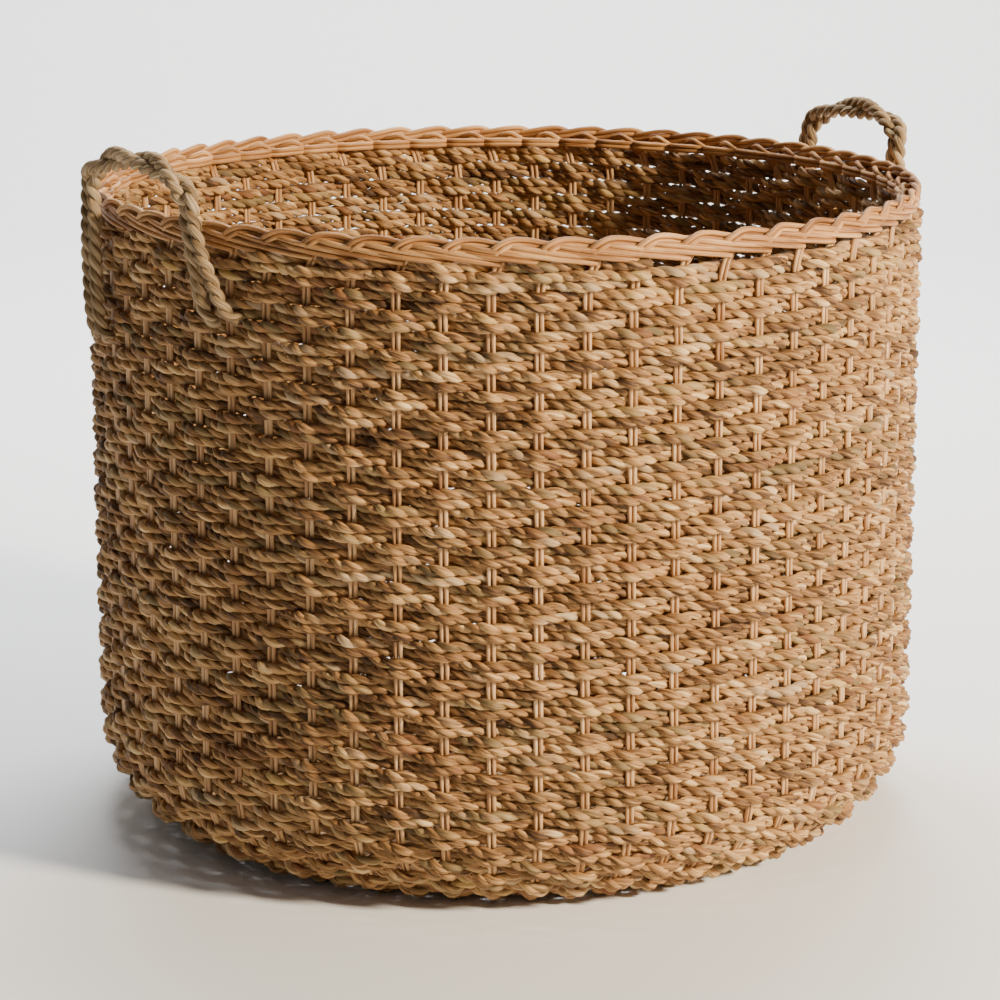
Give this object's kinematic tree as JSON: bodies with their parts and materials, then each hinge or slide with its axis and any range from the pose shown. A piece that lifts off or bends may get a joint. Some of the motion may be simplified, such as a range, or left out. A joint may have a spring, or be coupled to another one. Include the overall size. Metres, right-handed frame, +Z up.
{
  "type": "storage basket",
  "caption": "Round open storage basket woven from doubled seagrass rope on paired rattan stakes, with a plaited cane rim and two tilting rope handles.",
  "frame": {"origin": "on the floor under the centre of the basket", "axes": "+Z up; X runs from the left handle (-X) to the right handle (+X); the handles sit 4 degrees round towards -Y"},
  "size_m": [0.5289, 0.5, 0.4248],
  "materials": {
    "seagrass_rope": "matt two-ply twisted seagrass, tan to olive brown",
    "rattan_cane": "satin split rattan, peach tan",
    "handle_rope": "matt thick twisted seagrass, grey olive",
    "base_stick": "matt rattan rod"
  },
  "bodies": {
    "root": {"base_sticks_under": "base_stick", "base_sticks_over": "base_stick", "stakes": "rattan_cane", "base_weave_1": "seagrass_rope", "base_weave_2": "seagrass_rope", "base_weave_3": "seagrass_rope", "heel_weave_1": "seagrass_rope", "heel_weave_2": "seagrass_rope", "wall_weave_1": "seagrass_rope", "wall_weave_2": "seagrass_rope", "wall_weave_3": "seagrass_rope", "wall_weave_4": "seagrass_rope", "wall_weave_5": "seagrass_rope", "wall_weave_6": "seagrass_rope", "wall_weave_7": "seagrass_rope", "wall_weave_8": "seagrass_rope", "wall_weave_9": "seagrass_rope", "wall_weave_10": "seagrass_rope", "rim_border": "rattan_cane", "rim_inner_canes": "rattan_cane", "handle_left_feet": "handle_rope", "handle_right_feet": "handle_rope"},
    "handle_left": {"handle_left": "handle_rope"},
    "handle_right": {"handle_right": "handle_rope"}
  },
  "joints": [
    {"name": "handle_left_tilt", "type": "hinge", "parent": "root", "child": "handle_left", "pos_m": [-0.25033, -0.0175, 0.3953], "axis": [0.0698, -0.9976, 0], "range_deg": [-50, 60]},
    {"name": "handle_right_tilt", "type": "hinge", "parent": "root", "child": "handle_right", "pos_m": [0.25313, -0.0177, 0.3953], "axis": [0.0698, 0.9976, 0], "range_deg": [-50, 60]}
  ]
}
